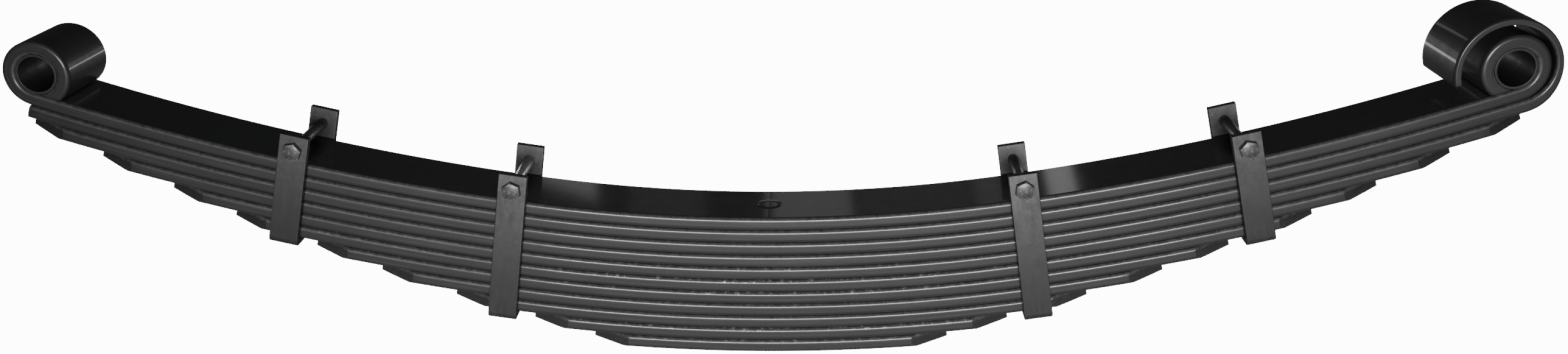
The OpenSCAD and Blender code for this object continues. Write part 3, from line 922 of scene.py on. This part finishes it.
for side in (-1, 1):
    for number, name in enumerate(PLACES):
        label, arm = f"{side_name(side)}_{name}_clip", f"{side_name(side)}_{name}_arm"
        bm = bmesh.new()
        end = -grip - NUT_H - PAST
        turned(bm, [(0, grip + 0.001), (BOLT_R, grip + 0.001), (BOLT_R, end + 0.0012),
                    (BOLT_R - 0.0002, end + 0.001), (BOLT_R - 0.0011, end), (0, end)])
        thread(bm, BOLT_R - 0.0004, THREAD_PITCH, end + 0.0012, end + THREAD_LENGTH)
        # The left inner shank gets the brighter metal, partly bare steel and partly a painted highlight.
        metal = bare_highlight_bolt if (side, name) == (-1, "inner") else dull_bolt
        place = lay_across(bm, side, number)
        shank = finish_piece(bm, label + "_shank", metal, label + "_bolt", place, SHANK_CHIPS)
        bm = bmesh.new()
        hexagon(bm, FLATS, grip + 0.0006, grip + HEAD_H, False)
        turn_round(bm, HEAD_TURN[number])
        turned(bm, [(0, grip), (FACE_R, grip), (FACE_R, grip + FACE_H), (0, grip + FACE_H)])
        place = lay_across(bm, side, number)
        head = finish_piece(bm, label + "_bolt_head", fastener_paint, label + "_bolt",
                            place, HEAD_CHIPS)
        bm = bmesh.new()
        hexagon(bm, FLATS, -grip - NUT_H, -grip, True, BOLT_R - 0.0002)
        turn_round(bm, NUT_TURN[number])
        place = lay_across(bm, side, number)
        nut = finish_piece(bm, label + "_hex_nut", fastener_paint, label + "_nut",
                           place, NUT_CHIPS)
        for piece in (shank, head, nut):
            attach(piece, arm)

# %% Rivets
RIVET_R, RIVET_HEAD_R, RIVET_HEAD_H, RIVET_DEPTH, DOME_STEPS = 0.005, 0.0095, 0.0055, 0.02, 8
RIVET_CHIPS = 0.4
dome_r = (RIVET_HEAD_R ** 2 + RIVET_HEAD_H ** 2) / (2 * RIVET_HEAD_H)
widest = math.asin(RIVET_HEAD_R / dome_r)
for side in (-1, 1):
    for number, held in enumerate(CLIP_LEAVES):
        under = strap_base(held) - STRAP_T
        dome_c = under + dome_r - RIVET_HEAD_H
        slopes = [widest * i / DOME_STEPS for i in range(DOME_STEPS)]
        dome = [(dome_r * math.sin(slope), dome_c - dome_r * math.cos(slope)) for slope in slopes]
        bm = bmesh.new()
        turned(bm, dome + [(RIVET_HEAD_R - 0.0002, under - 0.0004), (RIVET_HEAD_R, under - 0.0002),
                           (RIVET_HEAD_R - 0.0001, under), (RIVET_R, under),
                           (RIVET_R, under + RIVET_DEPTH), (0, under + RIVET_DEPTH)])
        spot = clip_matrix(side, number)
        bmesh.ops.transform(bm, verts=bm.verts, matrix=spot)
        label = f"{side_name(side)}_{PLACES[number]}_clip_rivet"
        piece = finish_piece(bm, label + "_head", fastener_paint, label,
                             lambda co, m=spot.inverted(): m @ co, RIVET_CHIPS)
        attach(piece, f"{side_name(side)}_{PLACES[number]}_arm")
print("rivet dome radius", round(dome_r, 4))

# %% [markdown]
# ## Centre bolt
# One bolt runs down through all the leaves. Its round head stands out below the pack and finds the
# hole in the axle's seat. At the top a countersunk nut lies almost flush in the main leaf,
# painted over with it, and the leaves hide the rest.

# %% Centre bolt and its nut
DOWEL_R, DOWEL_H, CENTRE_R, SUNK_R = 0.0125, 0.010, 0.008, 0.015
CENTRE_CHIPS = 0.4
bolt_top, nut_foot, nut_top = pack_top - 0.008, pack_top - 0.007, pack_top + 0.0001
recess, groove = pack_top - 0.0003, pack_top - 0.0004
bm = bmesh.new()
turned(bm, [(0, -DOWEL_H), (DOWEL_R - 0.0016, -DOWEL_H), (DOWEL_R - 0.0002, -DOWEL_H + 0.0014),
            (DOWEL_R, -DOWEL_H + 0.0018), (DOWEL_R, -0.0002), (DOWEL_R - 0.0002, 0), (CENTRE_R, 0),
            (CENTRE_R, bolt_top), (0, bolt_top)])
piece = finish_piece(bm, "centre_bolt_turned", fastener_paint, "centre_bolt",
                     tone=CENTRE_CHIPS)
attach(piece, "leaf_pack")
bm = bmesh.new()
turned(bm, [(0, recess), (CENTRE_R - 0.001, recess), (CENTRE_R - 0.0006, groove),
            (CENTRE_R - 0.0002, groove), (CENTRE_R, nut_top), (SUNK_R - 0.0002, nut_top),
            (SUNK_R, pack_top), (CENTRE_R, nut_foot), (0, nut_foot)])
piece = finish_piece(bm, "centre_nut_turned", leaf_paint, "centre_nut",
                     tone=CENTRE_CHIPS)
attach(piece, "leaf_pack")

# %% [markdown]
# ## Floor, light and surroundings
# The spring stands on a plain pale floor. Soft light comes from the front and low down, so the
# leaves' front edges are bright and their tops stay dark. Paint this glossy shows what is around
# it: the surroundings are dark to reflections, and a few soft cards behind give the main leaf's top
# its pale patches near the middle. Two faint lights behind keep the far side from going black. The
# floor and the surroundings are almost white to the camera alone.

# %% Floor
FLOOR_HALF, CLEAN_WHITE = 9, 14.0
floor_paint = bpy.data.materials.new("floor")
floor_paint.use_nodes = True
tree = floor_paint.node_tree
shader = tree.nodes["Principled BSDF"]
shader.inputs["Base Color"].default_value = (0.86, 0.86, 0.86, 1)
shader.inputs["Roughness"].default_value = 0.9
shader.inputs["Specular IOR Level"].default_value = 0.1
glow = add(tree, "ShaderNodeEmission", wires={"Color": (1, 1, 1, 1), "Strength": CLEAN_WHITE})
seen = add(tree, "ShaderNodeLightPath").outputs["Is Camera Ray"]
both = add(tree, "ShaderNodeMixShader", wires={0: calc(tree, "MULTIPLY", seen, 0.93), 1: shader.outputs[0],
                                               2: glow.outputs[0]})
tree.links.new(both.outputs[0], tree.nodes["Material Output"].inputs["Surface"])
bm = bmesh.new()
bmesh.ops.create_grid(bm, x_segments=8, y_segments=8, size=FLOOR_HALF)
bmesh.ops.translate(bm, verts=bm.verts, vec=(0, 0, cad_low[2]))
mesh = bpy.data.meshes.new("floor")
bm.to_mesh(mesh)
bm.free()
mesh.materials.append(floor_paint)
floor = bpy.data.objects.new("floor", mesh)
bpy.context.scene.collection.objects.link(floor)

# %% Surroundings
world = bpy.data.worlds.new("surroundings")
world.use_nodes = True
bpy.context.scene.world = world
tree = world.node_tree
dim = add(tree, "ShaderNodeBackground", wires={"Color": (0.95, 0.97, 1.0, 1), "Strength": 0.035})
white = add(tree, "ShaderNodeBackground", wires={"Color": (1, 1, 1, 1), "Strength": CLEAN_WHITE})
seen = add(tree, "ShaderNodeLightPath").outputs["Is Camera Ray"]
both = add(tree, "ShaderNodeMixShader", wires={0: seen, 1: dim.outputs[0], 2: white.outputs[0]})
tree.links.new(both.outputs[0], tree.nodes["World Output"].inputs["Surface"])


# %% Lights
CARD_Y, CARD_AIM_Z = 3.2, 0.17
CARDS = ((-0.54, 1.36, 0.12, 0.28, 1.0), (-0.34, 1.42, 0.15, 0.30, 0.13), (-0.05, 1.42, 0.17, 0.30, 0.55),
         (0.16, 1.45, 0.22, 0.30, 0.12), (0.31, 1.47, 0.06, 0.30, 0.3), (0.475, 1.50, 0.07, 0.30, 1.8))


def softbox(name, place, aim, size, power, spread=180):
    """A rectangular soft light that looks at a point; its beam spreads over some degrees."""
    lamp = bpy.data.lights.new(name, "AREA")
    lamp.shape = "RECTANGLE"
    lamp.size, lamp.size_y = size
    lamp.energy = power
    lamp.spread = math.radians(spread)
    light = bpy.data.objects.new(name, lamp)
    bpy.context.scene.collection.objects.link(light)
    way = Vector(aim) - Vector(place)
    light.matrix_world = Matrix.Translation(place) @ way.to_track_quat("-Z", "Y").to_matrix().to_4x4()


softbox("front", (0.15, -3.2, 0.55), aim=(0.12, 0, 0.1), size=(1.6, 0.9), power=18, spread=62)
softbox("back fill", (0.0, 4.5, 0.35), aim=(0, 0, 0.15), size=(6.0, 0.6), power=5)
softbox("back low", (0.0, 2.2, 0.08), aim=(0, 0, 0.08), size=(4.0, 0.13), power=4, spread=120)
for x, z, wide, high, bright in CARDS:
    softbox(f"card {x}", (x, CARD_Y, z), aim=(x / 2, 0, CARD_AIM_Z), size=(wide, high),
            power=bright * math.pi * wide * high)
